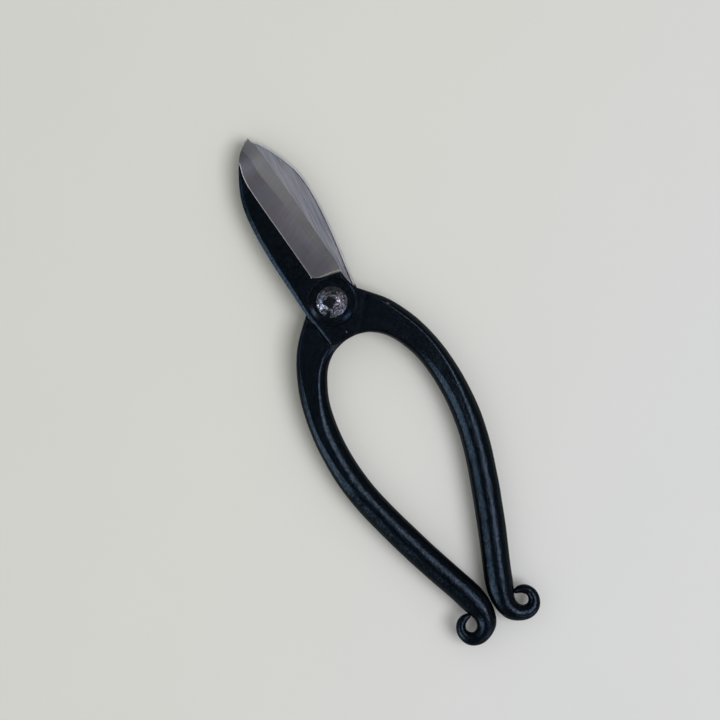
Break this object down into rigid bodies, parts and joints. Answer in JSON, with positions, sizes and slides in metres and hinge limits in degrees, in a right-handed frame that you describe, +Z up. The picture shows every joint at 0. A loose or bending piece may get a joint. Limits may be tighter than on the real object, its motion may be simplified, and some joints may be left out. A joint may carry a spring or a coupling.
{
  "type": "floral snips",
  "caption": "Forged flower-arranging scissors with short leaf-shaped blades, a hammered pivot rivet and wide bow handles that end in small curls.",
  "frame": {"origin": "where the pivot axis meets the plane that the lower rivet head rests on", "axes": "+Y from the pivot to the blade tips, +X to the right seen from above, +Z up out of the resting plane"},
  "size_m": [0.0498, 0.1695, 0.0134],
  "materials": {
    "black_steel": "satin blue-black oxide over hand-forged steel",
    "ground_steel": "ground bevel, fine cross scratches",
    "edge_steel": "hard edge steel, finely ground",
    "rivet_steel": "hand-hammered bright rivet head with dark residue",
    "washer_steel": "black oxide"
  },
  "bodies": {
    "lower": {"lower_half": "black_steel", "lower_edge_steel": "edge_steel", "pivot_rivet": "rivet_steel", "top_washer": "washer_steel", "bottom_washer": "washer_steel"},
    "upper": {"upper_half": "black_steel", "upper_edge_steel": "edge_steel"}
  },
  "joints": [
    {"name": "pivot", "type": "hinge", "parent": "lower", "child": "upper", "pos_m": [0, 0, 0.0067], "axis": [0, 0, 1], "range_deg": [0, 30]}
  ]
}
